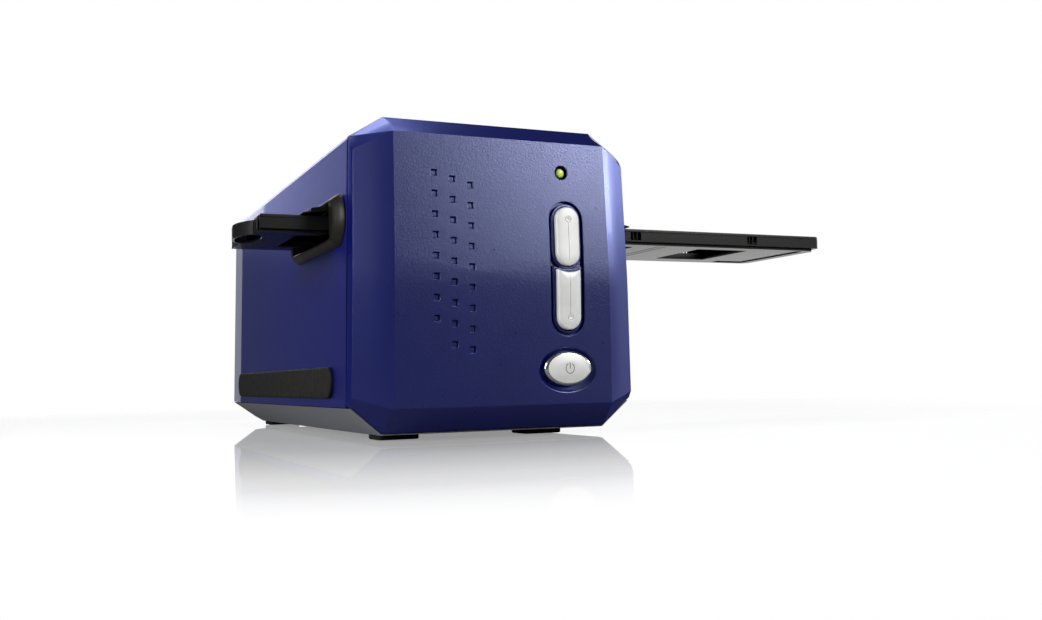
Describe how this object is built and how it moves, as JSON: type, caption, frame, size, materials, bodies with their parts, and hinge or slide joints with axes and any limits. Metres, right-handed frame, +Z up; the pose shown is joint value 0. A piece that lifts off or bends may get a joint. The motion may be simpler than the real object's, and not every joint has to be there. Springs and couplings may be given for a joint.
{
  "type": "film scanner",
  "caption": "Desktop film scanner with a slide holder through its side slots, sprung dust doors, scan buttons and a rack-driven scanning carriage inside.",
  "frame": {"origin": "on the table, below the middle of the box round the scanner and its slide holder", "axes": "+Z up, the front face looks along -Y, +X is to the right of someone in front of it"},
  "size_m": [0.2624, 0.278, 0.1193],
  "materials": {
    "blue_plastic": "satin indigo, moulded",
    "grey_plastic": "satin mid grey",
    "black_plastic": "satin black",
    "inner_plastic": "matt black",
    "rubber": "matt",
    "silver": "satin silver paint",
    "lamp_green": "clear, tinted",
    "steel": "satin",
    "circuit_board": "solder mask",
    "glass": "clear",
    "mirror": "polished",
    "nylon": "natural"
  },
  "bodies": {
    "housing": {"front_cover": "blue_plastic", "main_cover": "blue_plastic", "rear_cover": "blue_plastic", "base_tray": "grey_plastic", "foot_front_left": "rubber", "foot_front_right": "rubber", "foot_rear_left": "rubber", "foot_rear_right": "rubber", "base_screw_near_left": "steel", "base_screw_near_right": "steel", "base_screw_far_left": "steel", "base_screw_far_right": "steel", "side_pad_left": "rubber", "side_pad_right": "rubber", "slot_frame_left": "black_plastic", "slot_frame_right": "black_plastic", "status_lamp": "lamp_green", "button_board": "circuit_board", "switch_upper": "inner_plastic", "switch_lower": "inner_plastic", "switch_power": "inner_plastic", "film_guide": "inner_plastic", "lamp_housing": "inner_plastic", "lamp_board": "circuit_board", "diffuser": "nylon", "lamp_emitter": "nylon", "chassis": "steel", "guide_rod_left": "steel", "guide_rod_right": "steel", "gear_axle": "steel", "motor": "steel", "motor_cradle": "inner_plastic", "main_board": "circuit_board", "scan_chip": "inner_plastic", "usb_socket": "steel", "power_jack": "inner_plastic"},
    "slide_holder": {"holder_base": "black_plastic", "holder_cover": "black_plastic"},
    "left_door": {"dust_door_left": "black_plastic"},
    "right_door": {"dust_door_right": "black_plastic"},
    "upper_button": {"scan_button_upper": "silver"},
    "lower_button": {"scan_button_lower": "silver"},
    "main_switch": {"power_button": "silver"},
    "carriage": {"carriage_frame": "inner_plastic", "mirror": "mirror", "lens_barrel": "inner_plastic", "lens_glass": "glass", "sensor_board": "circuit_board", "line_sensor": "inner_plastic", "carriage_rack": "nylon"},
    "drive_gear": {"reduction_gear": "nylon"},
    "drive_pinion": {"motor_pinion": "steel"}
  },
  "joints": [
    {"name": "holder_slide", "type": "slide", "parent": "housing", "child": "slide_holder", "axis": [1, 0, 0], "range_m": [-0.12, 0.06]},
    {"name": "left_door_hinge", "type": "hinge", "parent": "housing", "child": "left_door", "pos_m": [-0.09875, -0.07855, 0.087], "axis": [0, 1, 0], "range_deg": [0, 25]},
    {"name": "right_door_hinge", "type": "hinge", "parent": "housing", "child": "right_door", "pos_m": [0.01805, -0.07855, 0.087], "axis": [0, -1, 0], "range_deg": [0, 25]},
    {"name": "upper_button_slide", "type": "slide", "parent": "housing", "child": "upper_button", "axis": [0, 1, 0], "range_m": [0, 0.001], "stiffness_N_per_m": 400},
    {"name": "lower_button_slide", "type": "slide", "parent": "housing", "child": "lower_button", "axis": [0, 1, 0], "range_m": [0, 0.001], "stiffness_N_per_m": 400},
    {"name": "power_button_slide", "type": "slide", "parent": "housing", "child": "main_switch", "axis": [0, 1, 0], "range_m": [0, 0.001], "stiffness_N_per_m": 400},
    {"name": "carriage_slide", "type": "slide", "parent": "housing", "child": "carriage", "axis": [0, 1, 0], "range_m": [0, 0.038]},
    {"name": "gear_spin", "type": "hinge", "parent": "housing", "child": "drive_gear", "pos_m": [0.00065, 0.01695, 0.027], "axis": [1, 0, 0], "range_deg": [-273, 0]},
    {"name": "pinion_spin", "type": "hinge", "parent": "housing", "child": "drive_pinion", "pos_m": [0.00065, 0.03495, 0.027], "axis": [1, 0, 0], "range_deg": [0, 953]}
  ],
  "couplings": [
    {"joint": "gear_spin", "follows": "carriage_slide", "rad_per_m": -125},
    {"joint": "pinion_spin", "follows": "carriage_slide", "rad_per_m": 437.5}
  ]
}
